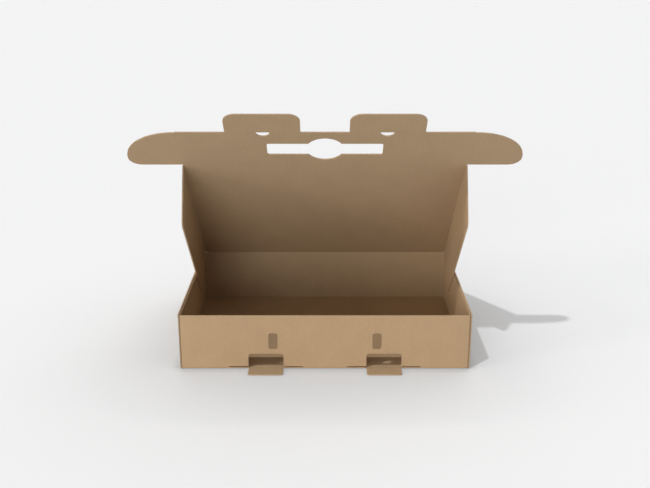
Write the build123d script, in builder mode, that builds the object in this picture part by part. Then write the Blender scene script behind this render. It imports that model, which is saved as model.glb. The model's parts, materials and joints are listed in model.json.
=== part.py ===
"""Flip top carton of corrugated board, standing open, in millimetres.

The box is one die-cut sheet. The tray is a single folded piece, and the panels
that swing on a crease are separate solids: lid, side flaps, front flap, ears,
lock tabs and catch tabs. X runs to the right, Y to the back and Z up, with the
origin in the middle of the tray's floor, on the surface it stands on.
"""

from math import cos, radians, sin, tan
import os

from build123d import *

# Board and folds
board = 1.4  # thickness of the corrugated board
bend_r = 0.4  # inside radius of a fixed fold
glue_gap = 0.05  # between a corner flap and the side wall it is glued to
hinge_gap = 0.2  # air around a rolled crease, where one panel swings on another

# Tray
box_w = 330.0
box_d = 222.0
wall_h = 65.4  # front and back walls
front_corner_flap = 110.7  # length of the corner flaps that fold in from the front wall
corner_flap_gap = 0.6  # between the two corner flaps on one side
corner_flap_r = 1.0

# Handle windows in the front wall
window_x = 58.8
window_z = 34.0
window_w = 10.3
window_h = 19.7
window_r = 2.3

# Lock: openings, slits and catch tabs at the front crease of the floor
lock_x = 67.1
opening_w = 40.0
opening_h = 18.9
opening_r = 3.0
slit_w = 84.0
slit_h = 1.6
slit_lift = 0.2  # floor to the slit above it
catch_clear = 0.3  # catch tab to the edge of its opening

# Lid
lid_angle = 45.3  # how far the lid stands open
side_clear = 0.2  # side flap to the corner flap beside it
front_clear = 0.2  # closed front flap to the front wall
floor_clear = 0.5  # closed side flap to the floor
side_flap_rear = 2.0  # where the side flap starts, from the hinge
side_flap_relief = 2.6  # how far short of the front crease it stops
side_flap_slant = 22.0  # slope of its front edge, in degrees
side_flap_taper = 4.0  # slope of its rear edge, in degrees
side_flap_front_r = 12.0
side_flap_rear_r = 6.0

# Front flap
hand_slot_w = 127.9
hand_slot_h = 21.6
hand_slot_r = 2.5
hand_slot_up = 30.7  # slot centre beyond the front crease
hand_hole_r = 21.1
notch_r = 8.0  # thumb notch at the lock tab's crease
notch_depth = 7.0

# Ears and lock tabs
ear_reach = 57.65
ear_step = 0.9  # ear's top to the front flap's free edge
ear_low_r = 14.0
lock_tab_w = 81.5
lock_tab_l = 32.0
lock_tab_r = 13.0

# Places that follow from the sizes above
half = board / 2
bend_out_r = bend_r + board
back_corner_flap = box_d - front_corner_flap - corner_flap_gap
front_y = -box_d / 2
back_y = box_d / 2
side_h = wall_h + board  # the closed lid lies flush between the side walls
side_in = box_w / 2 - board
wall_end = side_in - glue_gap
wall_half = wall_end - bend_out_r  # straight part of the front and back walls
corner_in = wall_end - board
hinge_reach = half + hinge_gap  # where the carrying panel stops short of a rolled crease
slit_z = board + slit_lift + slit_h / 2

hinge_y = back_y - half
hinge_z = wall_h + hinge_reach
flap_out = corner_in - side_clear
flap_in = flap_out - board
lid_half = flap_in - hinge_gap
front_crease = hinge_y - front_y + front_clear + half
ear_crease = flap_out + hinge_reach  # a folded ear passes outside the side flap
front_flap_half = flap_out
lock_crease = front_crease + hinge_z - slit_z  # the shut lock tabs meet the slits
front_flap_edge = lock_crease - hinge_reach
ear_base = hinge_y - front_y + front_clear / 2  # passes in front of the side wall
ear_h = front_flap_edge - ear_step - ear_base

along = (0, -cos(radians(lid_angle)), sin(radians(lid_angle)))  # hinge to front
inward = (0, -sin(radians(lid_angle)), -cos(radians(lid_angle)))  # to the inside of the lid
hinge = (0, hinge_y, hinge_z)
lid_face = Plane(origin=hinge, x_dir=(1, 0, 0), z_dir=inward)  # x across, y along the lid
lid_side = Plane(origin=hinge, x_dir=along, z_dir=(1, 0, 0))  # x along the lid, y inward
front_face = Plane.XZ.offset(-front_y)

# The tray: floor, front wall and back wall are one folded strip
with BuildPart() as tray:
    with BuildSketch(Plane.YZ) as strip:
        Rectangle(box_d, wall_h, align=(Align.CENTER, Align.MIN))
        with Locations((0, board)):
            Rectangle(box_d - 2 * board, wall_h, align=(Align.CENTER, Align.MIN), mode=Mode.SUBTRACT)
        fillet(strip.vertices().group_by(Axis.Y)[1], bend_r)
        fillet(strip.vertices().group_by(Axis.Y)[0], bend_out_r)
    extrude(amount=wall_half, both=True)

    # Side walls stand up from the floor and pass the ends of the other walls
    with BuildSketch(Plane.XZ) as side:
        with Locations((wall_half, 0)):
            Rectangle(box_w / 2 - wall_half, side_h, align=Align.MIN)
        with Locations((wall_half, board)):
            Rectangle(side_in - wall_half, side_h, align=Align.MIN, mode=Mode.SUBTRACT)
        fillet(side.vertices().group_by(Axis.Y)[0].sort_by(Axis.X)[-1], bend_out_r)
        mirror(about=Plane.YZ)
    extrude(amount=box_d / 2, both=True)

    # Corner flaps turn in from the front and back walls and lie inside the side walls
    for wall_y, flap_l, turn in ((front_y, front_corner_flap, 1), (back_y, back_corner_flap, -1)):
        with BuildSketch(Plane.XY.offset(bend_out_r)):
            with Locations((wall_half, wall_y + turn * bend_out_r)):
                Circle(bend_out_r)
                Circle(bend_r, mode=Mode.SUBTRACT)
                inner_side = Align.MAX if turn > 0 else Align.MIN
                Rectangle(bend_out_r, bend_out_r, align=(Align.MIN, inner_side), mode=Mode.INTERSECT)
            mirror(about=Plane.YZ)
        extrude(amount=wall_h - bend_out_r)
        with BuildSketch(Plane.YZ.offset(corner_in)) as flap:
            with Locations((wall_y + turn * bend_out_r, bend_out_r)):
                outer_side = Align.MIN if turn > 0 else Align.MAX
                Rectangle(flap_l - bend_out_r, wall_h - bend_out_r, align=(outer_side, Align.MIN))
            free_end = -1 if turn > 0 else 0
            fillet(flap.vertices().group_by(Axis.X)[free_end], corner_flap_r)
        flap_plate = extrude(amount=board)
        mirror(flap_plate, about=Plane.YZ)

    # Handle windows
    with BuildSketch(front_face):
        with GridLocations(2 * window_x, 0, 2, 1):
            with Locations((0, window_z)):
                RectangleRounded(window_w, window_h, window_r)
    extrude(amount=bend_out_r, both=True, mode=Mode.SUBTRACT)

    # Lock openings, which also free the catch tabs from the floor
    with BuildSketch(front_face) as opening:
        with GridLocations(2 * lock_x, 0, 2, 1):
            Rectangle(opening_w, opening_h, align=(Align.CENTER, Align.MIN))
        fillet(opening.vertices().group_by(Axis.Y)[-1], opening_r)
    extrude(amount=half + hinge_reach, both=True, mode=Mode.SUBTRACT)

    # Slits for the lock tabs, just above the front crease
    with BuildSketch(front_face):
        with GridLocations(2 * lock_x, 0, 2, 1):
            with Locations((0, slit_z)):
                SlotOverall(slit_w, slit_h)
    extrude(amount=bend_out_r, both=True, mode=Mode.SUBTRACT)

# The lid, rolled at the hinge so that it can swing from shut to right back
with BuildPart() as lid_panel:
    with BuildSketch(lid_side):
        Circle(half)
        Rectangle(front_crease - hinge_reach, board, align=(Align.MIN, Align.CENTER))
    extrude(amount=lid_half, both=True)

# Side flaps, bent down around a quarter round at the lid's edge
side_crease = half + hinge_gap
side_flap_low = hinge_z - board - floor_clear
side_flap_l = front_crease - side_flap_relief - side_flap_rear
side_flap_depth = side_flap_low - side_crease
flap_start = lid_side.from_local_coords((side_flap_rear, side_crease, flap_in))
flap_plane = Plane(origin=flap_start, x_dir=along, z_dir=(1, 0, 0))
bend_plane = Plane(origin=flap_start, x_dir=(1, 0, 0), z_dir=along)
with BuildPart() as side_flap_right:
    with BuildSketch(flap_plane) as outline:
        with BuildLine():
            front_low = side_flap_l - side_flap_depth * tan(radians(side_flap_slant))
            rear_low = side_flap_depth * tan(radians(side_flap_taper))
            Polyline(
                (0, 0),
                (side_flap_l, 0),
                (front_low, side_flap_depth),
                (rear_low, side_flap_depth),
                close=True,
            )
        make_face()
        fillet(outline.vertices().group_by(Axis.Y)[-1].sort_by(Axis.X)[-1], side_flap_front_r)
        fillet(outline.vertices().group_by(Axis.Y)[-1].sort_by(Axis.X)[0], side_flap_rear_r)
    extrude(amount=board)
    with BuildSketch(bend_plane):
        Circle(board)
        Rectangle(board, board, align=Align.MIN, mode=Mode.INTERSECT)
    extrude(amount=side_flap_l)

with BuildPart() as side_flap_left:
    mirror(side_flap_right.part, about=Plane.YZ)

# Front flap with the hand slot and the thumb notches, rolled at the lid's front edge
with BuildPart() as front_flap:
    with BuildSketch(lid_face):
        with Locations((0, front_crease)):
            Rectangle(2 * front_flap_half, front_flap_edge - front_crease, align=(Align.CENTER, Align.MIN))
        with Locations((0, front_crease + hand_slot_up)):
            RectangleRounded(hand_slot_w, hand_slot_h, hand_slot_r, mode=Mode.SUBTRACT)
            Circle(hand_hole_r, mode=Mode.SUBTRACT)
        with Locations((0, front_flap_edge - notch_depth + notch_r)):
            with GridLocations(2 * lock_x, 0, 2, 1):
                Circle(notch_r, mode=Mode.SUBTRACT)
    extrude(amount=half, both=True)
    with BuildSketch(lid_side):
        with Locations((front_crease, 0)):
            Circle(half)
    extrude(amount=front_flap_half, both=True)

# Ears: a long elliptical shoulder above and a tight round corner below
ear_tip = ear_crease + ear_reach
ear_shoulder = ear_base + ear_low_r
ear_edge = Plane(origin=lid_face.from_local_coords((ear_crease, ear_base)), x_dir=(1, 0, 0), z_dir=along)
with BuildPart() as ear_right:
    with BuildSketch(lid_face):
        with BuildLine():
            Line((ear_crease, ear_base + ear_h), (ear_crease, ear_base))
            Line((ear_crease, ear_base), (ear_tip - ear_low_r, ear_base))
            CenterArc((ear_tip - ear_low_r, ear_shoulder), ear_low_r, -90, 90)
            EllipticalCenterArc((ear_crease, ear_shoulder), ear_reach, ear_h - ear_low_r, arc_size=90)
        make_face()
    extrude(amount=half, both=True)
    with BuildSketch(ear_edge):
        Circle(half)
    extrude(amount=ear_h)

with BuildPart() as ear_left:
    mirror(ear_right.part, about=Plane.YZ)

# Lock tabs on the free edge of the front flap
with BuildPart() as lock_tab_right:
    with BuildSketch(lid_face) as tab:
        with Locations((lock_x, lock_crease)):
            Rectangle(lock_tab_w, lock_tab_l, align=(Align.CENTER, Align.MIN))
        fillet(tab.vertices().group_by(Axis.Y)[-1], lock_tab_r)
    extrude(amount=half, both=True)
    with BuildSketch(lid_side.offset(lock_x)):
        with Locations((lock_crease, 0)):
            Circle(half)
    extrude(amount=lock_tab_w / 2, both=True)

with BuildPart() as lock_tab_left:
    mirror(lock_tab_right.part, about=Plane.YZ)

# Catch tabs: tongues of the floor, cut out of the lock openings
catch_l = opening_h - half - catch_clear
with BuildPart() as catch_tab_right:
    with BuildSketch(Plane.YZ.offset(lock_x)):
        with Locations((front_y + half, half)):
            Circle(half)
            Rectangle(catch_l, board, align=(Align.MAX, Align.CENTER))
    extrude(amount=opening_w / 2 - catch_clear, both=True)
    fillet(catch_tab_right.edges().filter_by(Axis.Z).group_by(Axis.Y)[0], opening_r)

with BuildPart() as catch_tab_left:
    mirror(catch_tab_right.part, about=Plane.YZ)

nodes = {
    "tray": tray,
    "lid_panel": lid_panel,
    "side_flap_left": side_flap_left,
    "side_flap_right": side_flap_right,
    "front_flap": front_flap,
    "ear_left": ear_left,
    "ear_right": ear_right,
    "lock_tab_left": lock_tab_left,
    "lock_tab_right": lock_tab_right,
    "catch_tab_left": catch_tab_left,
    "catch_tab_right": catch_tab_right,
}
os.makedirs("parts", exist_ok=True)
for name, node in nodes.items():
    node.part.label = name
    export_step(node.part, f"parts/{name}.step")
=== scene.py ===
# %% [markdown]
# # A flip top carton in kraft corrugated board
# The real box is one sheet of corrugated board, cut with a die, creased and folded. Nothing is added to it:
# no hinge, no fastener. Every panel here is made as board is made, from two paper liners with a wave of
# fluting paper between them, so that the cut edges show their flutes and the folds are rounded.
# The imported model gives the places: the script reads creases and panel ends from it, and adds what the eye
# sees.

# %% Load the frame
import json

import bpy
import numpy as np
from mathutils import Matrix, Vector


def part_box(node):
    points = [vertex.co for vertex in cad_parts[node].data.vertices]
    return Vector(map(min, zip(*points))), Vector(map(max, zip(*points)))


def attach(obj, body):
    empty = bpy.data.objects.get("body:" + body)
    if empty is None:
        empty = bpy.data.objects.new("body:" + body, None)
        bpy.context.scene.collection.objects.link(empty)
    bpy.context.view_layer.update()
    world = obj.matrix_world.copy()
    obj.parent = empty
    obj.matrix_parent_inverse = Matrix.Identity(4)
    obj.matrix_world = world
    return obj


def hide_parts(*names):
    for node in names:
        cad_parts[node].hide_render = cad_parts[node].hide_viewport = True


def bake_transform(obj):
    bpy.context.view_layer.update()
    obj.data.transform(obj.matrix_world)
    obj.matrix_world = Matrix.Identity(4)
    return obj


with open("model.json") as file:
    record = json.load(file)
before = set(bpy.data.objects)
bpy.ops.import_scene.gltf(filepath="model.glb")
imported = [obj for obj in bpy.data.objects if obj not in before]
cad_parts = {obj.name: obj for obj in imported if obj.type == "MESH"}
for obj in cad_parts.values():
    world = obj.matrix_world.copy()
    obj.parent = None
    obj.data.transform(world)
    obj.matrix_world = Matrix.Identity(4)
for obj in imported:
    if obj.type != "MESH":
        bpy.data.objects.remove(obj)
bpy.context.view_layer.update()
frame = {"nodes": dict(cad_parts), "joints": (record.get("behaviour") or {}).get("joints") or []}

# %% [markdown]
# ## The board
# A thin board of this kind is 1.4 mm thick, with about 90 flutes to the foot. The liners are strong brown
# paper, the fluting a softer one. A plain slab would look right from afar, but its cut edges would be blank,
# so each paper is a sheet of its own. A crease is a line where the fluting was crushed: the board turns there
# over a strip a little wider than it is thick. Each panel stops short of its crease line, and a crease strip
# of its own fills the rest between the two panels.

# %% Board sizes
mm = 0.001
board = 1.4 * mm
half = board / 2
liner = 0.3 * mm  # the die presses the papers together, so they look thick at a cut
fluting_paper = 0.4 * mm
flute_pitch = 3.4 * mm
crush = 0.5 * mm  # how far in from a cut along the flutes the die has pressed the fluting solid
glue_line = 0.01 * mm  # between a liner and the fluting
half_space = half - liner - glue_line  # from the board's middle to the glue
wave_height = half_space - fluting_paper / 2
print("flutes rise", round(wave_height / mm, 3), "mm each way inside a", round(board / mm, 2), "mm board")

# %% Fold sizes
crease = 0.9 * mm  # from a crease line to the panel on either side
bend_in = 0.4 * mm  # inner radius of a fold that stays folded
bend_mid = bend_in + half
bend_out = bend_in + board
glue_gap = 0.05 * mm  # between a corner flap and the side wall
edge_step = 0.1 * mm  # an edge that steps to another level does so this far past its neighbour's end
print("folds turn about", round(bend_mid / mm, 2), "mm, a crease strip is", round(2 * crease / mm, 2), "mm")

# %% [markdown]
# ## Where the creases are
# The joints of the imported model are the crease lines. The open lid has its own three directions: across the
# box, along the lid away from the hinge, and inward, from the lid's outer face to its inner one. A point of
# the lid is the hinge plus so much of each. Panels could be drawn flat and turned into place, but this way
# each is as simple as if it lay on a table, and every object stays unturned at the origin.

# %% Crease lines
crease_at = {j["name"]: np.array(j["pos_m"]) for j in frame["joints"]}
across = np.array([1.0, 0.0, 0.0])
along = np.array(next(j["axis"] for j in frame["joints"] if j["name"] == "ear_left_fold"))
inward = np.cross(across, along)
hinge = crease_at["lid_hinge"]
front_crease = (crease_at["front_flap_fold"] - hinge) @ along
lock_crease = (crease_at["lock_tab_right_fold"] - hinge) @ along
lock_x = crease_at["lock_tab_right_fold"][0]
ear_crease = crease_at["ear_right_fold"][0]
catch_y = crease_at["catch_tab_right_fold"][1]
flap_in = crease_at["side_flap_right_fold"][0]
hands = ((1, "right"), (-1, "left"))  # which way across a piece lies, and how its name ends
print("creases along the lid in mm:", round(front_crease / mm, 1), round(lock_crease / mm, 1))

# %% Panel ends


def lid_reach(node):
    """Lowest and highest distance of a CAD node's points across, along and inward from the hinge's middle."""
    mesh = frame["nodes"][node].data
    points = np.empty(len(mesh.vertices) * 3)
    mesh.vertices.foreach_get("co", points)
    local = (points.reshape(-1, 3) - hinge) @ np.stack([across, along, inward], 1)
    return local.min(0), local.max(0)


lid_half = lid_reach("lid_panel")[1][0]
front_flap_half = lid_reach("front_flap")[1][0]
tray_low, tray_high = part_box("tray")
front_y, back_y, side_h, tray_half = tray_low.y, tray_high.y, tray_high.z, tray_high.x
wall_h = side_h - board  # the front and back walls stand a board lower than the side walls
print("lid", round(2 * lid_half / mm, 1), "mm wide, tray", round(2 * tray_half / mm, 1), "mm")

# %% [markdown]
# ## From a flat outline to a closed sheet
# A panel is drawn as columns across the flutes. In each column a few row lines follow the panel's edges and
# the edges of its holes, so the panel is a grid of cells, and a hole is a block of cells that is left out.
# Each sheet of paper is that grid laid twice, a paper's thickness apart, with a rim wherever a cell has no
# neighbour. Boolean cuts could make the holes too, but this gives closed sheets with true cut edges at once,
# and the same grid serves liners and fluting alike.

# %% Closed plates from a grid of cells


def sheet_faces(keep):
    """Quads of a closed plate between two equal grids of points, the low one numbered first.

    A kept cell gives one quad on the high grid and one, turned round, on the low grid. Each side of a
    kept cell that meets no other kept cell gives a rim quad. Returns the quads, and for each 0 low,
    1 high or 2 rim.
    """
    rows, columns = keep.shape[0] + 1, keep.shape[1] + 1
    number = np.arange(rows * columns).reshape(rows, columns)
    a, b, c, d = number[:-1, :-1], number[:-1, 1:], number[1:, 1:], number[1:, :-1]
    lift = rows * columns
    top = np.stack([a, b, c, d], -1)[keep]
    around = np.pad(keep, 1)
    sides = ((a, b, around[:-2, 1:-1]), (b, c, around[1:-1, 2:]),
             (c, d, around[2:, 1:-1]), (d, a, around[1:-1, :-2]))
    rims = [np.stack([p, q, q + lift, p + lift], -1)[keep & ~next_to] for p, q, next_to in sides]
    quads = np.concatenate([top[:, ::-1], top + lift, *rims])
    side = np.repeat([0, 1, 2], [len(top), len(top), sum(map(len, rims))])
    return quads, side


def join_layers(layers):
    """Points, quads, finish numbers and blank places of several closed plates, numbered one after another.

    A layer is (low grid, high grid, kept cells, blank places, the numbers of the finishes on its low side,
    high side and rim). Points that no kept cell uses are dropped.
    """
    points, quads, worn, places, count = [], [], [], [], 0
    for low, high, keep, blank, wears in layers:
        faces, side = sheet_faces(keep)
        used, faces = np.unique(faces, return_inverse=True)
        points.append(np.concatenate([low.reshape(-1, 3), high.reshape(-1, 3)])[used])
        places.append(np.tile(blank.reshape(-1, 2), (2, 1))[used])
        quads.append(faces.reshape(-1, 4) + count)
        worn.append(np.array(wears)[side])
        count += len(used)
    return map(np.concatenate, (points, quads, worn, places))


# %% From plates to a mesh
sharp_turn = np.radians(50)  # faces that meet at a sharper turn keep their edge


def make_piece(name, layers, finishes):
    """One mesh from several closed plates. Their places on the flat blank become the UV map named board."""
    points, quads, worn, places = join_layers(layers)
    mesh = bpy.data.meshes.new(name)
    mesh.vertices.add(len(points))
    mesh.vertices.foreach_set("co", points.ravel())
    mesh.loops.add(quads.size)
    mesh.loops.foreach_set("vertex_index", quads.ravel())
    mesh.polygons.add(len(quads))
    mesh.polygons.foreach_set("loop_start", np.arange(len(quads)) * 4)
    mesh.update(calc_edges=True)
    for finish in finishes:
        mesh.materials.append(finish)
    mesh.polygons.foreach_set("material_index", worn.astype(np.int32))
    mesh.uv_layers.new(name="board").uv.foreach_set("vector", places[quads.ravel()].ravel())
    mesh.polygons.foreach_set("use_smooth", np.ones(len(quads), bool))
    mesh.set_sharp_from_angle(angle=sharp_turn)
    mesh.validate()
    piece = bpy.data.objects.new(name, mesh)
    bpy.context.scene.collection.objects.link(piece)
    print(name, len(points), "points,", len(quads), "quads")
    return piece


# %% Columns and rounded corners
merge_digits = 7  # decimals of a metre: columns that agree to a tenth of a micron are one


def corner_cut(place, end, radius):
    """How far a rounded corner has cut in at this place: nothing until one radius before the end, then the
    radius less the height of the quarter circle, and the whole radius from the end on."""
    into = np.clip(place - (end - radius), 0, radius)
    return radius - np.sqrt(radius**2 - into**2)


def arc_columns(start, end, count=9):
    """Columns from start to end that crowd towards end as a sine does: there a quarter circle is steep."""
    return start + (end - start) * np.sin(np.linspace(0, np.pi / 2, count))


def in_order(*columns):
    """All these columns together, rising and without repeats."""
    return np.unique(np.round(np.concatenate(columns), merge_digits))


def both_sides(columns):
    """The same columns on the left and on the right of the middle."""
    return in_order(-np.asarray(columns), np.asarray(columns))


# %% Liners and fluting of a panel
flute_steps = 8  # columns to one flute
outer_face, inner_face, cut_face = 0, 1, 2  # numbers of a liner's three finishes
only_finish = 0  # the fluting has one


def flute_columns(breaks, cuts):
    """The panel's own columns, those that draw each flute between its two ends, and four beside each cut."""
    step = flute_pitch / flute_steps
    between = np.arange(np.ceil(breaks[0] / step), np.floor(breaks[-1] / step) + 1) * step
    beside = np.add.outer(cuts, crush * np.array([-1, -0.5, 0.5, 1])).ravel()
    beside = beside[(beside > breaks[0]) & (beside < breaks[-1])]
    return in_order(breaks, between, beside)


def board_layers(panel, breaks, cuts):
    """The liners and the fluting of one panel, as layers of make_piece.

    A panel is a function of its columns and a lift from the middle of the board, and gives the grid of
    points, the kept cells and the blank places. The outer liner lies at the negative lifts, the inner one at
    the positive lifts, and the fluting's lift is a sine of the column: one wave to each flute. Beside a cut
    the wave dies down and the fluting swells until it fills the space between the liners. It is fully pressed
    up to half the crush from the cut, and not at all from the whole crush on.
    """
    def layer(columns, low_lift, high_lift, wears):
        """The panel's grid at two lifts."""
        low, keep, blank = panel(columns, low_lift)
        return low, panel(columns, high_lift)[0], keep, blank, wears

    fine = flute_columns(breaks, cuts)
    pressed = np.clip(2 - 2 * np.abs(np.subtract.outer(fine, cuts)).min(1) / crush, 0, 1)
    wave = (1 - pressed) * wave_height * np.sin(2 * np.pi * fine / flute_pitch)
    swell = fluting_paper / 2 + pressed * (half_space - fluting_paper / 2)
    liners = [layer(breaks, -half, liner - half, (outer_face, cut_face, cut_face)),
              layer(breaks, half - liner, half, (cut_face, inner_face, cut_face))]
    flutes = [layer(fine, wave - swell, wave + swell, (only_finish, only_finish, only_finish))]
    return liners, flutes


# %% [markdown]
# ## Kraft paper
# Kraft liner is brown paper with a cloudy look, long fibres that lie across the flutes, and a few dark specks
# of bark. The flutes telegraph through it as very faint stripes. Three separate materials could each draw
# that, but it is one paper, so it is one node group, used by the outer liner, the darker inner liner and the
# raw cut edge, each with its own colour and strength. The patterns read the blank's UV map, in metres, so
# they run on round a fold as they do in the real sheet.

# %% Node helpers


def add_node(tree, kind, label=None, **settings):
    """A node of this kind in the tree. Settings are its own properties, and inputs values by socket."""
    node = tree.nodes.new(kind)
    node.label = label or ""
    values = settings.pop("inputs", {})
    for name, value in settings.items():
        setattr(node, name, value)
    for name, value in values.items():
        node.inputs[name].default_value = value
    return node


def reckon(tree, first, second, operation="ADD", label=None):
    """A Math node on two sockets or numbers: their sum, unless another operation is named."""
    node = add_node(tree, "ShaderNodeMath", label, operation=operation)
    for slot_number, value in enumerate((first, second)):
        if isinstance(value, (int, float)):
            node.inputs[slot_number].default_value = value
        else:
            tree.links.new(value, node.inputs[slot_number])
    return node.outputs[0]


def new_group(name, inputs, outputs):
    """An empty shader node group with these named sockets. A socket is (name, kind, default)."""
    group = bpy.data.node_groups.new(name, "ShaderNodeTree")
    for socket, kind, default in inputs:
        made = group.interface.new_socket(socket, in_out="INPUT", socket_type=kind)
        if default is not None:
            made.default_value = default
    for socket, kind in outputs:
        group.interface.new_socket(socket, in_out="OUTPUT", socket_type=kind)
    return group, group.nodes.new("NodeGroupInput"), group.nodes.new("NodeGroupOutput")


# %% The kraft fibre group
fibres, given, result = new_group(
    "kraft_fibres",
    [("Place", "NodeSocketVector", None), ("Paper", "NodeSocketColor", (0.5, 0.35, 0.2, 1)),
     ("Fibre", "NodeSocketFloat", 0.1), ("Specks", "NodeSocketFloat", 0.3),
     ("Stripes", "NodeSocketFloat", 0.02)],
    [("Colour", "NodeSocketColor"), ("Height", "NodeSocketFloat"), ("Roughness", "NodeSocketFloat")],
)
on_blank = given.outputs["Place"]


def stretched_noise(scale, detail, label):
    """Noise on the blank, with its own number of repeats to the metre across and along the flutes."""
    turned = add_node(fibres, "ShaderNodeMapping", label + " scale", inputs={"Scale": (*scale, 1)})
    noise = add_node(fibres, "ShaderNodeTexNoise", label, inputs={
        "Scale": 1.0, "Detail": detail, "Roughness": 0.6})
    fibres.links.new(on_blank, turned.inputs["Vector"])
    fibres.links.new(turned.outputs["Vector"], noise.inputs["Vector"])
    return noise.outputs["Fac"]


cloud = stretched_noise((38, 30), 3, "cloudy formation")
mottle = stretched_noise((330, 420), 3, "mottle")
strand = stretched_noise((260, 2300), 4, "fibres")
thread = stretched_noise((1500, 350), 3, "cross fibres")
print("noise layers:", [node.label for node in fibres.nodes if node.type == "TEX_NOISE"])

# %% Flute stripes
split = add_node(fibres, "ShaderNodeSeparateXYZ")
fibres.links.new(on_blank, split.inputs[0])
phase = reckon(fibres, split.outputs["X"], 2 * np.pi / flute_pitch, "MULTIPLY", "flute phase")
stripe = reckon(fibres, phase, 0.0, "COSINE", "flute stripe")
print("one stripe to", round(flute_pitch / mm, 1), "mm")

# %% Specks
bare_share = 0.86  # share of the speck cells that stay bare
speck_scale = add_node(fibres, "ShaderNodeMapping", "speck scale", inputs={"Scale": (260, 420, 1)})
speck_cells = add_node(fibres, "ShaderNodeTexVoronoi", "specks", inputs={"Scale": 1.0})
fibres.links.new(on_blank, speck_scale.inputs["Vector"])
fibres.links.new(speck_scale.outputs["Vector"], speck_cells.inputs["Vector"])
speck_size = add_node(fibres, "ShaderNodeMapRange", "speck edge", inputs={
    "From Min": 0.10, "From Max": 0.16, "To Min": 1.0, "To Max": 0.0})
fibres.links.new(speck_cells.outputs["Distance"], speck_size.inputs["Value"])
speck_pick = add_node(fibres, "ShaderNodeSeparateColor")
fibres.links.new(speck_cells.outputs["Color"], speck_pick.inputs[0])
few = reckon(fibres, speck_pick.outputs[0], bare_share, "GREATER_THAN", "few cells")
speck = reckon(fibres, speck_size.outputs["Result"], few, "MULTIPLY", "speck")
print("specks in", round(100 * (1 - bare_share)), "of 100 cells")

# %% Colour of the paper
noise_means = 4 * 0.5  # four noises, each about a half
uneven = reckon(fibres, reckon(fibres, cloud, mottle), reckon(fibres, strand, thread))
uneven = reckon(fibres, uneven, noise_means, "SUBTRACT", "uneven, about nought")
shade = reckon(fibres, reckon(fibres, uneven, given.outputs["Fibre"], "MULTIPLY"), 1.0, label="fibre shade")
lines = reckon(fibres, stripe, given.outputs["Stripes"], "MULTIPLY", "stripe shade")
shade = reckon(fibres, shade, lines)
dark = reckon(fibres, speck, given.outputs["Specks"], "MULTIPLY")
shade = reckon(fibres, shade, dark, "SUBTRACT", "with specks")
paper = add_node(fibres, "ShaderNodeVectorMath", "shaded paper", operation="SCALE")
fibres.links.new(given.outputs["Paper"], paper.inputs[0])
fibres.links.new(shade, paper.inputs["Scale"])
fibres.links.new(paper.outputs[0], result.inputs["Colour"])

# %% Relief and roughness of the paper
stripe_relief = 0.35  # height of a flute stripe beside that of the fibres
flute_relief = reckon(fibres, stripe, stripe_relief, "MULTIPLY")
relief = reckon(fibres, reckon(fibres, strand, thread), flute_relief, label="relief")
fibres.links.new(relief, result.inputs["Height"])
rough = add_node(fibres, "ShaderNodeMapRange", "roughness", inputs={"To Min": 0.78, "To Max": 0.95})
fibres.links.new(mottle, rough.inputs["Value"])
fibres.links.new(rough.outputs["Result"], result.inputs["Roughness"])
print("kraft group has", len(fibres.nodes), "nodes")

# %% [markdown]
# ## Three finishes
# The outside of the carton is a lighter kraft than the inside. Where the die went through, the paper is raw,
# paler and more fibrous. One material with a mask could hold all three, but a face belongs wholly to one of
# them, so each is a material of its own. They differ only in the values given to the group, and in the
# strength of the bump.

# %% Finishes
paper_gloss = 0.22  # specular level of matte paper
bump_depth = 0.05 * mm


def kraft_finish(name, colour, fibre, specks, stripes, bump):
    """A matte paper: the kraft group gives its colour, roughness and bump height from the board map."""
    finish = bpy.data.materials.new(name)
    finish.use_nodes = True
    tree = finish.node_tree
    shader = tree.nodes["Principled BSDF"]
    shader.inputs["Specular IOR Level"].default_value = paper_gloss
    where = add_node(tree, "ShaderNodeUVMap", uv_map="board")
    kraft = add_node(tree, "ShaderNodeGroup", "kraft fibres", node_tree=fibres, inputs={
        "Paper": (*colour, 1), "Fibre": fibre, "Specks": specks, "Stripes": stripes})
    raised = add_node(tree, "ShaderNodeBump", inputs={"Strength": bump, "Distance": bump_depth})
    tree.links.new(where.outputs["UV"], kraft.inputs["Place"])
    tree.links.new(kraft.outputs["Colour"], shader.inputs["Base Color"])
    tree.links.new(kraft.outputs["Roughness"], shader.inputs["Roughness"])
    tree.links.new(kraft.outputs["Height"], raised.inputs["Height"])
    tree.links.new(raised.outputs["Normal"], shader.inputs["Normal"])
    finish.diffuse_color = (*colour, 1)
    return finish


outer_kraft = kraft_finish("outer_kraft", (0.50, 0.338, 0.196),
                           fibre=0.16, specks=0.25, stripes=0.012, bump=0.5)
inner_kraft = kraft_finish("inner_kraft", (0.455, 0.320, 0.192),
                           fibre=0.16, specks=0.25, stripes=0.016, bump=0.5)
cut_kraft = kraft_finish("cut_kraft", (0.58, 0.42, 0.27),
                         fibre=0.22, specks=0.2, stripes=0.0, bump=0.6)
paper_finishes = [outer_kraft, inner_kraft, cut_kraft]
print("finishes:", [finish.name for finish in paper_finishes])

# %% Pieces of a panel


def make_board(name, panel, breaks, body, holes=()):
    """A panel's two liners as the piece that stands for the CAD node, and its fluting as a second piece. The
    cuts along the flutes are the panel's two ends and the sides of its holes."""
    liners, flutes = board_layers(panel, breaks, np.array([breaks[0], breaks[-1], *holes]))
    sheet = make_piece(name + "_liners", liners, paper_finishes)
    core = make_piece(name + "_fluting", flutes, [cut_kraft])
    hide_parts(body)
    for piece in (sheet, core):
        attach(piece, body)


def make_pair(name, panel, breaks):
    """The same panel on the right and, with its columns mirrored, on the left."""
    make_board(name + "_right", panel, breaks, name + "_right")
    make_board(name + "_left", panel, -breaks[::-1], name + "_left")


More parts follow.
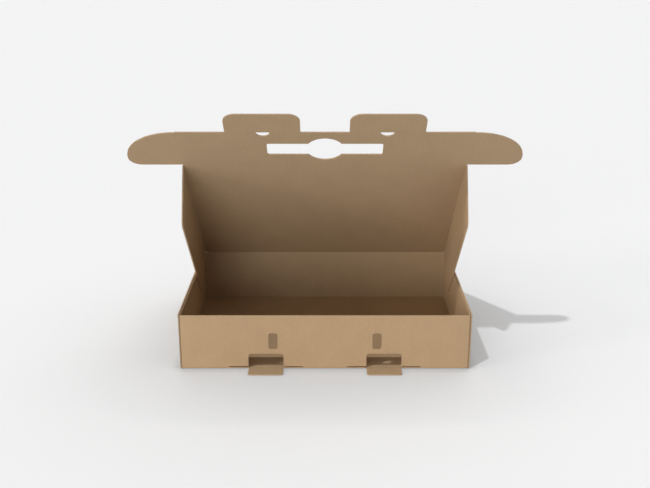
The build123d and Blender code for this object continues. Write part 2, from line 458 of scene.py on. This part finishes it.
# %% [markdown]
# ## The tray
# Floor, front wall, back wall, side walls and corner flaps are one piece of board. They could be separate
# slabs with seams at the folds, but here they are one grid: the blank itself. Its columns run across the
# flutes. Its rows run down the front wall, round the bottom fold, over the floor, round the back fold and up
# the back wall. Beyond the wall's ends the front and back rows turn the corner and become the glued corner
# flaps, and the floor rows turn up into the side walls. Folding is then only a matter of where each row and
# column goes, and the holes are cells left out.

# %% Sizes of the tray
wall_half = tray_half - board - glue_gap - bend_out  # the front and back walls turn their corners here
side_fold = tray_half - bend_out  # the floor turns up into the side wall here
quarter = bend_mid * np.pi / 2  # length of a fold along the middle of the board
corner_flap = 110.7 * mm  # how deep a corner flap reaches: the two on a side nearly meet half way
flap_end = wall_half + quarter + corner_flap - bend_out
flap_r = 1 * mm
side_end = side_fold + quarter + side_h - bend_out
print("wall_half", round(wall_half / mm, 2), "side_fold", round(side_fold / mm, 2))

# %% Holes of the tray
window_x, window_z = 58.8 * mm, 34 * mm  # middle of a handle window
window_w, window_h, window_r = 10.3 * mm, 19.7 * mm, 2.3 * mm
opening_w, opening_h, opening_r = 40 * mm, 18.9 * mm, 3 * mm
slit_l, slit_top, slit_r = 84 * mm, 3.2 * mm, 0.7 * mm
front_cells, fold_cells = 5, 5  # rows of cells down the front wall, and round a fold
fold_angles = np.radians(np.linspace(0, 90, fold_cells + 1))[1:-1]
print("windows", round(2 * window_x / mm, 1), "mm apart, lock openings", round(2 * lock_x / mm, 1), "mm")

# %% Rows of the front wall


def front_rows(place):
    """Six row heights of the front wall for each column: the top edge, the window's top and bottom, the lock
    opening's top, the slit's top and the bottom fold. Near the end of the corner flap its two rounded corners
    squeeze all six together in proportion."""
    reach = np.abs(place)
    beside_lock = np.abs(reach - lock_x)
    window = window_h / 2 - corner_cut(np.abs(reach - window_x), window_w / 2, window_r)
    opening = opening_h - corner_cut(beside_lock, opening_w / 2, opening_r)
    slit = slit_top - corner_cut(beside_lock, slit_l / 2, slit_r)
    level = np.ones_like(place)
    rows = np.stack([wall_h * level, window_z + window, window_z - window, opening, slit, bend_out * level])
    cut = corner_cut(reach, flap_end, flap_r)
    return bend_out + cut + (rows - bend_out) * (1 - 2 * cut / (wall_h - bend_out))


# %% Cells and places of the blank
window_row, opening_rows, slit_row = 1, slice(3, 10), 4  # an opening runs on through the bottom fold


def tray_cells(reach):
    """Kept cells of the tray's blank: the rows of the front wall, of its fold, the floor, the back fold and
    the back wall. Windows, lock openings and slits are left out, and so is what lies past each row's end."""
    beside_lock = np.abs(reach - lock_x)
    ends = np.repeat([flap_end, wall_half, side_end, wall_half, flap_end],
                     [front_cells, fold_cells, 1, fold_cells, 1])
    keep = reach < ends[:, None]
    keep[window_row] &= np.abs(reach - window_x) > window_w / 2
    keep[opening_rows] &= beside_lock > opening_w / 2
    keep[slit_row] &= beside_lock > slit_l / 2
    return keep


def blank_places(place, heights, floor_end):
    """Where each grid point lies on the flat blank: its column, and its length down the front wall, over the
    floor and up the back wall."""
    level = 0 * place
    fold = (fold_angles * bend_mid)[:, None] + level
    floor_start = wall_h - bend_out + quarter
    floor_length = back_y - front_y - 2 * bend_out
    back_start = floor_start + floor_length
    run = [wall_h - heights, wall_h - bend_out + fold, (floor_start - bend_out + floor_end)[None],
           (back_start + bend_out - floor_end)[None], back_start + fold,
           np.stack([back_start + quarter + level, back_start + quarter + wall_h - bend_out + level])]
    run = np.concatenate(run)
    return np.stack([np.broadcast_to(place, run.shape), run], -1)


# %% The folded blank
two_rows = np.zeros((2, 1))


def tray_panel(place, lift):
    """The folded blank of the tray. A fold of the board is a quarter circle: its radius is that of the
    board's middle less the lift, and its angle is the distance past the fold's start over the middle
    radius."""
    side, reach = np.sign(place), np.abs(place)
    radius = bend_mid - lift
    corner = np.clip((reach - wall_half) / bend_mid, 0, np.pi / 2)
    past = np.clip(reach - wall_half - quarter, 0, None)
    wall_x = side * (np.minimum(reach, wall_half) + radius * np.sin(corner))
    depth = bend_out - radius * np.cos(corner) + past
    rise = np.clip((reach - side_fold) / bend_mid, 0, np.pi / 2)
    climb = np.clip(reach - side_fold - quarter, 0, None)
    floor_x = side * (np.minimum(reach, side_fold) + radius * np.sin(rise))
    floor_z = bend_out - radius * np.cos(rise) + climb
    fold = fold_angles[:, None]
    fold_in, fold_z = bend_out - radius * np.cos(fold), bend_out - radius * np.sin(fold)
    floor_end = np.where(reach < wall_half + edge_step, bend_out, 0)  # the side walls run to the corners
    back_cut = corner_cut(reach, flap_end, flap_r)
    heights = front_rows(place)
    x = [wall_x + 0 * heights, place + 0 * fold, floor_x + two_rows, place + 0 * fold, wall_x + two_rows]
    y = [front_y + depth + 0 * heights, front_y + fold_in,
         (front_y + floor_end)[None], (back_y - floor_end)[None],
         (back_y - fold_in)[::-1], back_y - depth + two_rows]
    z = [heights, fold_z, floor_z + two_rows, fold_z[::-1],
         np.stack([bend_out + back_cut, wall_h - back_cut])]
    grid = np.stack([np.concatenate([line + 0 * place for line in lines]) for lines in (x, y, z)], -1)
    return grid, tray_cells((reach[:-1] + reach[1:]) / 2), blank_places(place, heights, floor_end)


# %% Fold the tray


def hole_columns(middle, width, radius, count=9):
    """Columns over the rounded ends of a hole, on both sides of its middle."""
    end = arc_columns(width / 2 - radius, width / 2, count)
    return np.concatenate([middle - end, middle + end])


tray_breaks = both_sides(np.concatenate([
    [0.0, wall_half, side_fold, side_end],
    hole_columns(window_x, window_w, window_r),
    hole_columns(lock_x, opening_w, opening_r),
    hole_columns(lock_x, slit_l, slit_r, count=5),
    wall_half + np.linspace(0, quarter, fold_cells + 1),
    side_fold + np.linspace(0, quarter, fold_cells + 1),
    arc_columns(flap_end - flap_r, flap_end),
]))
tray_holes = both_sides([side_end, window_x - window_w / 2, window_x + window_w / 2,
                         lock_x - opening_w / 2, lock_x + opening_w / 2])
make_board("tray", tray_panel, tray_breaks, "tray", tray_holes)

# %% [markdown]
# ## The lid and its front flap
# The lid is a plain rectangle between the hinge crease and the front crease. The front flap beyond it carries
# the hand slot, whose middle widens into a round finger hole, and the two half-moon notches in its free edge,
# where a thumb lifts the lock tabs. The slot could be cut out of a plain flap, but as two row lines of the
# flap it also cuts the liners and the fluting. Its edge is the higher of two curves, a rounded bar and a
# circle.

# %% Panels in the plane of the lid


def on_lid(rows, keep=None):
    """A panel in the plane of the open lid, from a function that gives its row distances along the lid."""
    def panel(place, lift):
        """The hinge plus the column across, the row along and the lift inward."""
        run = rows(place)
        lift = np.broadcast_to(lift, place.shape)
        grid = hinge + place[:, None] * across + run[..., None] * along + lift[:, None] * inward
        middle = (place[:-1] + place[1:]) / 2
        cells = np.ones((len(run) - 1, len(middle)), bool) if keep is None else keep(middle)
        return grid, cells, np.stack([np.broadcast_to(place, run.shape), run], -1)
    return panel


def lid_rows(place):
    """The lid's two edges, each one crease strip's reach from its crease."""
    return np.stack([crease + 0 * place, front_crease - crease + 0 * place])


make_board("lid_panel", on_lid(lid_rows), both_sides([0.0, lid_half]), "lid_panel")

# %% Rows of the front flap
slot_along = 252.9 * mm  # from the hinge to the slot's middle line
slot_w, slot_h, slot_r, finger_r = 127.9 * mm, 21.6 * mm, 2.5 * mm, 21.1 * mm
notch_r, notch_depth = 8.0 * mm, 7.0 * mm


def front_flap_rows(place):
    """The flap's crease edge, the slot's two edges and the free edge, less the half-moon notches. Past the
    lid's ends the flap goes a little lower, to where the ears begin."""
    reach = np.abs(place)
    slot = slot_h / 2 - corner_cut(reach, slot_w / 2, slot_r)
    slot = np.maximum(slot, np.sqrt(np.clip(finger_r**2 - place**2, 0, None)))
    beside_lock = np.clip(np.abs(reach - lock_x), 0, notch_r)
    notch = np.clip(np.sqrt(notch_r**2 - beside_lock**2) - notch_r + notch_depth, 0, None)
    low = np.where(reach < lid_half + edge_step, front_crease + crease, front_crease - half)
    return np.stack([low, slot_along - slot, slot_along + slot, lock_crease - crease - notch])


def front_flap_cells(middle):
    """All three rows of cells, with the middle one open over the length of the slot."""
    keep = np.ones((3, len(middle)), bool)
    keep[1] = np.abs(middle) > slot_w / 2
    return keep


# %% Front flap
bulge_half = np.sqrt(finger_r**2 - (slot_h / 2) ** 2)
notch_half = np.sqrt(notch_r**2 - (notch_r - notch_depth) ** 2)
notch_columns = arc_columns(0, notch_half, count=12)
front_flap_breaks = both_sides(np.concatenate([
    [0.0, lid_half + edge_step / 2, lid_half + 3 * edge_step / 2, front_flap_half],
    np.linspace(0, bulge_half, 16),
    arc_columns(slot_w / 2 - slot_r, slot_w / 2),
    lock_x + notch_columns, lock_x - notch_columns,
]))
make_board("front_flap", on_lid(front_flap_rows, front_flap_cells), front_flap_breaks, "front_flap",
           both_sides([slot_w / 2]))

# %% [markdown]
# ## Ears and lock tabs
# An ear is a tongue at each end of the front flap. Its lower corner is a small quarter circle and its upper
# edge a long quarter ellipse, so that it slips in beside the wall when the lid is shut. A lock tab hangs on
# the flap's free edge by two short creases, with a slit between them. Along the slit the tab has a rolled lip
# of its own. A bevel could round that lip, but its curve has to stay inside the board, so it is worked out.

# %% Ears
(_, ear_base, _), (ear_tip, ear_top, _) = lid_reach("ear_right")
ear_corner = 14 * mm
ear_shoulder = ear_base + ear_corner


def ear_rows(place):
    """Lower edge with its quarter circle, and upper edge, a quarter ellipse from the crease to the tip."""
    reach = np.abs(place)
    out = np.clip((reach - ear_crease) / (ear_tip - ear_crease), 0, 1)
    upper = ear_shoulder + (ear_top - ear_shoulder) * np.sqrt(1 - out**2)
    return np.stack([ear_base + corner_cut(reach, ear_tip, ear_corner), upper])


ear_root = ear_crease + crease
first_turn, blunt = 0.03, np.radians(89)  # the ellipse's columns begin past the strip and end in no point
ear_turn = np.linspace(first_turn, blunt, 30)
ear_breaks = np.unique(np.concatenate([
    [ear_root], ear_crease + (ear_tip - ear_crease) * np.sin(ear_turn),
    ear_tip - ear_corner * (1 - np.sin(np.linspace(0, blunt, 10)))]))
ear_breaks = ear_breaks[ear_breaks >= ear_root]
make_pair("ear", on_lid(ear_rows), ear_breaks)

# %% Lock tabs
(tab_left, _, _), (tab_right, tab_end, _) = lid_reach("lock_tab_right")
tab_half, tab_corner = (tab_right - tab_left) / 2, 13 * mm


def lock_tab_rows(place):
    """The tab's crease edge and its free edge with two rounded corners."""
    beside = np.abs(np.abs(place) - lock_x)
    return np.stack([lock_crease + crease + 0 * place, tab_end - corner_cut(beside, tab_half, tab_corner)])


tab_arc = arc_columns(tab_half - tab_corner, tab_half, count=13)
tab_breaks = in_order(lock_x - tab_arc, lock_x + tab_arc)
make_pair("lock_tab", on_lid(lock_tab_rows), tab_breaks)

# %% Bars of board


def strip_layer(columns, rows, put):
    """One closed bar from a function of column, row and lift: the outer side at minus half a board, the inner
    side at plus half a board."""
    a, b = np.meshgrid(columns, rows)
    low, high = put(a, b, -half), put(a, b, half)
    keep = np.ones((len(rows) - 1, len(columns) - 1), bool)
    return low, high, keep, np.stack([a, b], -1), (outer_face, inner_face, cut_face)


def lid_point(a, b, lift):
    """A point of the lid's plane: so far across, along and inward from the middle of the hinge."""
    return hinge + a[..., None] * across + b[..., None] * along + np.asarray(lift)[..., None] * inward


# %% Lips of the lock tabs
slit_half = 22 * mm
lip_reach = 0.995 * half  # a little less than half a board, so that the lip ends in a face


def slit_lip(a, b, lift):
    """The tab's edge along the slit: past the crease line the board ends in a rounded square, the curve on
    which the fourth powers of distance and lift add up to that of half a board."""
    before = np.clip(lock_crease - b, 0, half)
    return lid_point(a, b, np.sign(lift) * (half**4 - before**4) ** 0.25)


lip_rows = lock_crease + np.append(-lip_reach * np.sin(np.linspace(np.pi / 2, 0, 10)), crease)
for side, hand in hands:
    tab = "lock_tab_" + hand
    lip_columns = side * lock_x + np.array([-1, 1]) * slit_half
    lip = make_piece(tab + "_lip", [strip_layer(lip_columns, lip_rows, slit_lip)], paper_finishes)
    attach(lip, tab)

# %% [markdown]
# ## Side flaps and catch tabs
# The lid's side flaps hang down inside the walls. Their flutes run along their crease, so their columns go
# from the crease to the free edge, and a row is the rear or the front edge, each a slanted line with a
# rounded corner. The catch tabs are tongues of the floor that lie forward through the openings of the front
# wall. Both could be outlines filled and thickened, but the same grid of cells keeps them board through and
# through.

# %% Outline of a side flap
flap_low, flap_high = lid_reach("side_flap_right")
flap_rear, flap_front, flap_root, flap_edge = flap_low[1], flap_high[1], crease, flap_high[2]
flap_depth = flap_edge - flap_root
front_slant, rear_slant = np.radians(22), np.radians(4)
front_round, rear_round = 12 * mm, 6 * mm
print("side flaps hang", round(flap_depth / mm, 1), "mm deep")


def arc_start(slant, radius):
    """Depth at which a rounded corner leaves the slanted line."""
    return flap_depth - radius * (1 - np.sin(slant))


def slanted_edge(depth, slant, radius):
    """How far an edge has moved in at this depth: a line at the slant, then an arc that is tangent to it and
    to the free edge. The arc's middle lies one radius above the free edge and one radius inside the line."""
    touch = arc_start(slant, radius)
    middle = touch * np.tan(slant) + radius * np.cos(slant)
    drop = np.clip(depth - (flap_depth - radius), 0, radius)
    arc = middle - np.sqrt(radius**2 - drop**2)
    return np.where(depth < touch, depth * np.tan(slant), arc)


# %% Side flaps


def side_flap_panel(place, lift):
    """The flap hangs from its crease: the column's size is its depth, the row runs along the crease, and the
    lift goes towards the middle of the box."""
    side, depth = np.sign(place.mean()), np.abs(place) - flap_root
    run = np.stack([flap_rear + slanted_edge(depth, rear_slant, rear_round),
                    flap_front - slanted_edge(depth, front_slant, front_round)])
    out = side * (flap_in + half - np.broadcast_to(lift, place.shape))
    grid = hinge + out[:, None] * across + run[..., None] * along + np.abs(place)[:, None] * inward
    return grid, np.ones((1, len(place) - 1), bool), np.stack([np.broadcast_to(place, run.shape), run], -1)


flap_breaks = flap_root + in_order(
    [0.0], arc_columns(arc_start(front_slant, front_round), flap_depth, count=12),
    arc_columns(arc_start(rear_slant, rear_round), flap_depth))
make_pair("side_flap", side_flap_panel, flap_breaks)

# %% Catch tabs
catch_low, catch_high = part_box("catch_tab_right")
catch_half, catch_r = (catch_high.x - catch_low.x) / 2, 3 * mm


def catch_tab_panel(place, lift):
    """A tongue of the floor: its front edge with two rounded corners, and its crease edge."""
    front = catch_low.y + corner_cut(np.abs(np.abs(place) - lock_x), catch_half, catch_r)
    run = np.stack([front, catch_y - crease + 0 * place])
    height = half + np.broadcast_to(lift, run.shape)
    grid = np.stack([np.broadcast_to(place, run.shape), run, height], -1)
    return grid, np.ones((1, len(place) - 1), bool), np.stack([np.broadcast_to(place, run.shape), run], -1)


catch_arc = arc_columns(catch_half - catch_r, catch_half)
catch_breaks = in_order(lock_x - catch_arc, lock_x + catch_arc)
make_pair("catch_tab", catch_tab_panel, catch_breaks)

# %% [markdown]
# ## Crease strips
# Where a panel swings, the board bends over a strip about 2 mm wide. Two panels that only met at the crease
# would show a gap, so each crease has a bar of board that spans the gap between them as the box stands. It is
# flat for the front flap, ears, lock tabs and catch tabs. The hinge strip and the side flap strips are
# already bent in the open box, so they are drawn bent.

# %% Front crease
strip_step = np.linspace(-crease, crease, 17)
front_ends = np.array([-lid_half, lid_half])


def add_strip(name, layers):
    """A strip of board across a crease, made as one piece with its place baked into its points."""
    strip = make_piece(name, layers, paper_finishes)
    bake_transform(strip)


add_strip("front_crease", [strip_layer(front_ends, front_crease + strip_step, lid_point)])

# %% Ear and lock tab creases
ear_span = np.array([ear_base, ear_top])
tab_holds = ((-tab_half, -slit_half), (slit_half, tab_half))  # a tab hangs on either side of its slit
for side, hand in hands:
    ear_line = side * ear_crease
    add_strip("ear_crease_" + hand, [strip_layer(ear_line + strip_step, ear_span, lid_point)])
    holds = [np.sort(side * lock_x + np.array(pair)) for pair in tab_holds]
    add_strip("lock_crease_" + hand,
              [strip_layer(ends, lock_crease + strip_step, lid_point) for ends in holds])

# %% Catch tab creases


def floor_point(a, b, lift):
    """A point of the floor board: across, along the floor, and up from its middle."""
    return np.stack([a, b, half + lift + 0 * a], -1)


catch_step = np.append(catch_y + strip_step, front_y + bend_out)  # the last row meets the floor
for side, hand in hands:
    ends = np.sort(side * lock_x + np.array([-catch_half, catch_half]))
    add_strip("catch_crease_" + hand, [strip_layer(ends, catch_step, floor_point)])

# %% Hinge crease
up, forward = np.array([0.0, 0.0, 1.0]), np.array([0.0, -1.0, 0.0])
rest_turn = np.arctan2(along @ forward, along @ up)
print("the lid leans", round(np.degrees(rest_turn), 1), "degrees forward of upright")


def hinge_point(a, b, lift):
    """A point of the hinge strip: flat board turned about the hinge by a share of the lid's angle. The share
    rises smoothly from none at the back wall to all at the lid, as 3t² − 2t³ of the way across."""
    t = np.clip((b + crease) / (2 * crease), 0, 1)
    turn = (rest_turn * t * t * (3 - 2 * t))[..., None]
    flat_b, flat_lift = b[..., None], np.asarray(lift)[..., None]
    rise = flat_b * np.cos(turn) - flat_lift * np.sin(turn)
    lean = flat_b * np.sin(turn) + flat_lift * np.cos(turn)
    return hinge + a[..., None] * across + rise * up + lean * forward


add_strip("lid_hinge_crease", [strip_layer(front_ends, strip_step, hinge_point)])

# %% Side flap creases
flap_span = np.array([flap_rear, flap_front])
fan = np.linspace(0, np.pi / 2, 41)


def flap_fold(a, b, lift):
    """A quarter turn about the corner of the lid: the angle is the column, right of the middle where it is
    positive and left where it is negative, and the lift is the board's depth."""
    radius = crease - lift
    side = np.sign(a.sum())
    reach = side * (lid_half + radius * np.sin(np.abs(a)))
    deep = crease - radius * np.cos(a)
    return hinge + reach[..., None] * across + b[..., None] * along + deep[..., None] * inward


for side, hand in hands:
    low, high, keep, turns, wears = strip_layer(np.sort(side * fan), flap_span, flap_fold)
    blank = np.stack([side * lid_half + turns[..., 0] * crease, turns[..., 1]], -1)
    add_strip("side_flap_crease_" + hand, [(low, high, keep, blank, wears)])

# %% [markdown]
# ## The ground
# The carton stands on a plain pale ground that runs on to the horizon. Near the box its colour is painted
# darker, a painted shade for the sky that the box hides from it, and a thin dark line of painted contact
# shadow lies under the edges that stand on it. A backdrop that only takes shadows could serve, but a real
# ground also throws light back at the board. So this is a wide plane whose far tone and darker near tone, the
# painted shade, are mixed by two ambient occlusion nodes, a wide one and a narrow one. Only rays that the eye
# follows meet that painted shade and a slight glow. Light on its way to the box meets the far tone.

# %% Rays that the eye follows


def eye_rays(tree):
    """1 for a ray that the eye follows, straight on or by way of gloss or glass, and 0 for light on its way:
    the greatest of the three marks."""
    ray = add_node(tree, "ShaderNodeLightPath")
    mirrored = reckon(tree, ray.outputs["Is Glossy Ray"], ray.outputs["Is Transmission Ray"], "MAXIMUM")
    return reckon(tree, ray.outputs["Is Camera Ray"], mirrored, "MAXIMUM", "seen by the eye")


# %% Ground plane
ground_reach = 40.0  # metres from the middle to each edge
ground_z = -0.05 * mm
ground_corners = [(-1, -1), (1, -1), (1, 1), (-1, 1)]
floor_mesh = bpy.data.meshes.new("floor")
floor_mesh.from_pydata([(ground_reach * a, ground_reach * b, ground_z) for a, b in ground_corners],
                       [], [(0, 1, 2, 3)])
floor = bpy.data.objects.new("floor", floor_mesh)
bpy.context.scene.collection.objects.link(floor)
print("ground reaches", ground_reach, "m each way")

# %% Painted shade near the box
wide_reach, wide_power = 0.3, 1.7  # metres that the soft shade reaches, and how steeply it deepens
edge_reach, edge_power = 0.012, 2.5
open_share = 0.875  # share of the far tone where nothing shades the ground
floor_paint = bpy.data.materials.new("pale_sweep")
floor_paint.use_nodes = True
sweep = floor_paint.node_tree
looked_at = eye_rays(sweep)
# painted shade: two ambient occlusion nodes darken the ground's colour near the box and under its edges
near = add_node(sweep, "ShaderNodeAmbientOcclusion", "near the box", samples=16,
                inputs={"Distance": wide_reach})
under = add_node(sweep, "ShaderNodeAmbientOcclusion", "under its edges", samples=16,
                 inputs={"Distance": edge_reach})
soft = reckon(sweep, near.outputs["AO"], wide_power, "POWER", "wide soft shade")
painted_contact_shadow = reckon(sweep, under.outputs["AO"], edge_power, "POWER", "dark line of contact")
open_sky = reckon(sweep, soft, painted_contact_shadow, "MULTIPLY", "open sky")
open_sky = reckon(sweep, open_sky, open_share, "MULTIPLY", "share of the far tone")
unseen = reckon(sweep, 1.0, looked_at, "SUBTRACT", "light that meets no eye")
open_sky = reckon(sweep, open_sky, unseen, "MAXIMUM")

# %% Tone of the ground, with the painted shade mixed into its colour
# the near tone is the painted shade, mixed into the ground's base colour where the box is near
painted_shade_tone, far_tone = (0.305, 0.328, 0.351, 1), (0.84, 0.84, 0.845, 1)
eye_glow = 0.25  # keeps the open ground pale to the eye alone
ground = sweep.nodes["Principled BSDF"]
ground.inputs["Roughness"].default_value = 0.9
ground.inputs["Specular IOR Level"].default_value = 0.0
ground.inputs["Emission Color"].default_value = (1, 1, 1, 1)
# this mix paints the shade and the contact shadow into the ground's base colour
tone = add_node(sweep, "ShaderNodeMix", "darker near the box", data_type="RGBA",
                inputs={6: painted_shade_tone, 7: far_tone})  # sockets 6 and 7 are its two colours
sweep.links.new(open_sky, tone.inputs[0])
sweep.links.new(tone.outputs[2], ground.inputs["Base Color"])
pale = reckon(sweep, looked_at, eye_glow, "MULTIPLY", "paler to the eye alone")
sweep.links.new(pale, ground.inputs["Emission Strength"])
floor_mesh.materials.append(floor_paint)
print("ground material has", len(sweep.nodes), "nodes")

# %% [markdown]
# ## Light and camera
# One fairly hard lamp, high on the left in front, throws the crisp slanted shadow to the right. Three softer
# ones fill in: a low warm one from the left, a broad one from the front and a little left, and a very broad
# one from above, behind and to the right. The sky adds an even light. Area lamps near the box would do as
# well, but sun lamps have the same strength everywhere, so each is set by its direction and its width alone.
# The camera stands in front of the middle of the box and looks down at it.

# %% Lamps


def shine(name, strength, spread, heading, colour=(1, 1, 1)):
    """A sun lamp: the same light everywhere, along a heading, from a disc that is spread degrees wide."""
    lamp = bpy.data.lights.new(name, "SUN")
    lamp.energy, lamp.angle, lamp.color = strength, np.radians(spread), colour
    holder = bpy.data.objects.new(name, lamp)
    holder.rotation_euler = Vector(heading).to_track_quat("-Z", "Y").to_euler()
    bpy.context.scene.collection.objects.link(holder)
    print(name, "shines along", heading)


warm, cool = (1.0, 0.95, 0.88), (0.95, 0.98, 1.0)
shine("key_lamp", strength=1.34, spread=1.6, heading=(0.403, 0.415, -1.0))
shine("left_window", strength=0.8, spread=14, heading=(0.90, 0.40, -0.16), colour=warm)
shine("front_fill", strength=1.38, spread=40, heading=(0.36, 0.93, -0.06), colour=cool)
shine("overhead_box", strength=0.77, spread=70, heading=(-0.25, -0.65, -1.0))

# %% Sky
sky_light = 0.183
sky_glow = 0.7  # added for the eye alone, so that ground and sky meet in nearly one tone
world = bpy.data.worlds.new("soft_light")
bpy.context.scene.world = world
world.use_nodes = True
sky = world.node_tree
sky.nodes["Background"].inputs["Color"].default_value = (1, 1, 1, 1)
seen = reckon(sky, eye_rays(sky), sky_glow, "MULTIPLY")
paler = reckon(sky, seen, sky_light, label="pale to the eye, soft on the box")
sky.links.new(paler, sky.nodes["Background"].inputs["Strength"])
print("sky gives", sky_light, "of light and looks", round(sky_light + sky_glow, 3))

# %% Camera
eye_back, eye_up = 1.0459, 0.4565  # metres in front of the middle of the box, and above the ground
look_down = 18.161  # degrees below level
camera = bpy.data.cameras.new("camera")
camera.lens, camera.sensor_width = 50, 36
viewer = bpy.data.objects.new("camera", camera)
viewer.location = (0, -eye_back, eye_up)
viewer.rotation_euler = (np.radians(90 - look_down), 0, 0)
bpy.context.scene.collection.objects.link(viewer)
bpy.context.scene.camera = viewer
bpy.context.scene.view_settings.view_transform = "Standard"
print("camera at", tuple(viewer.location))
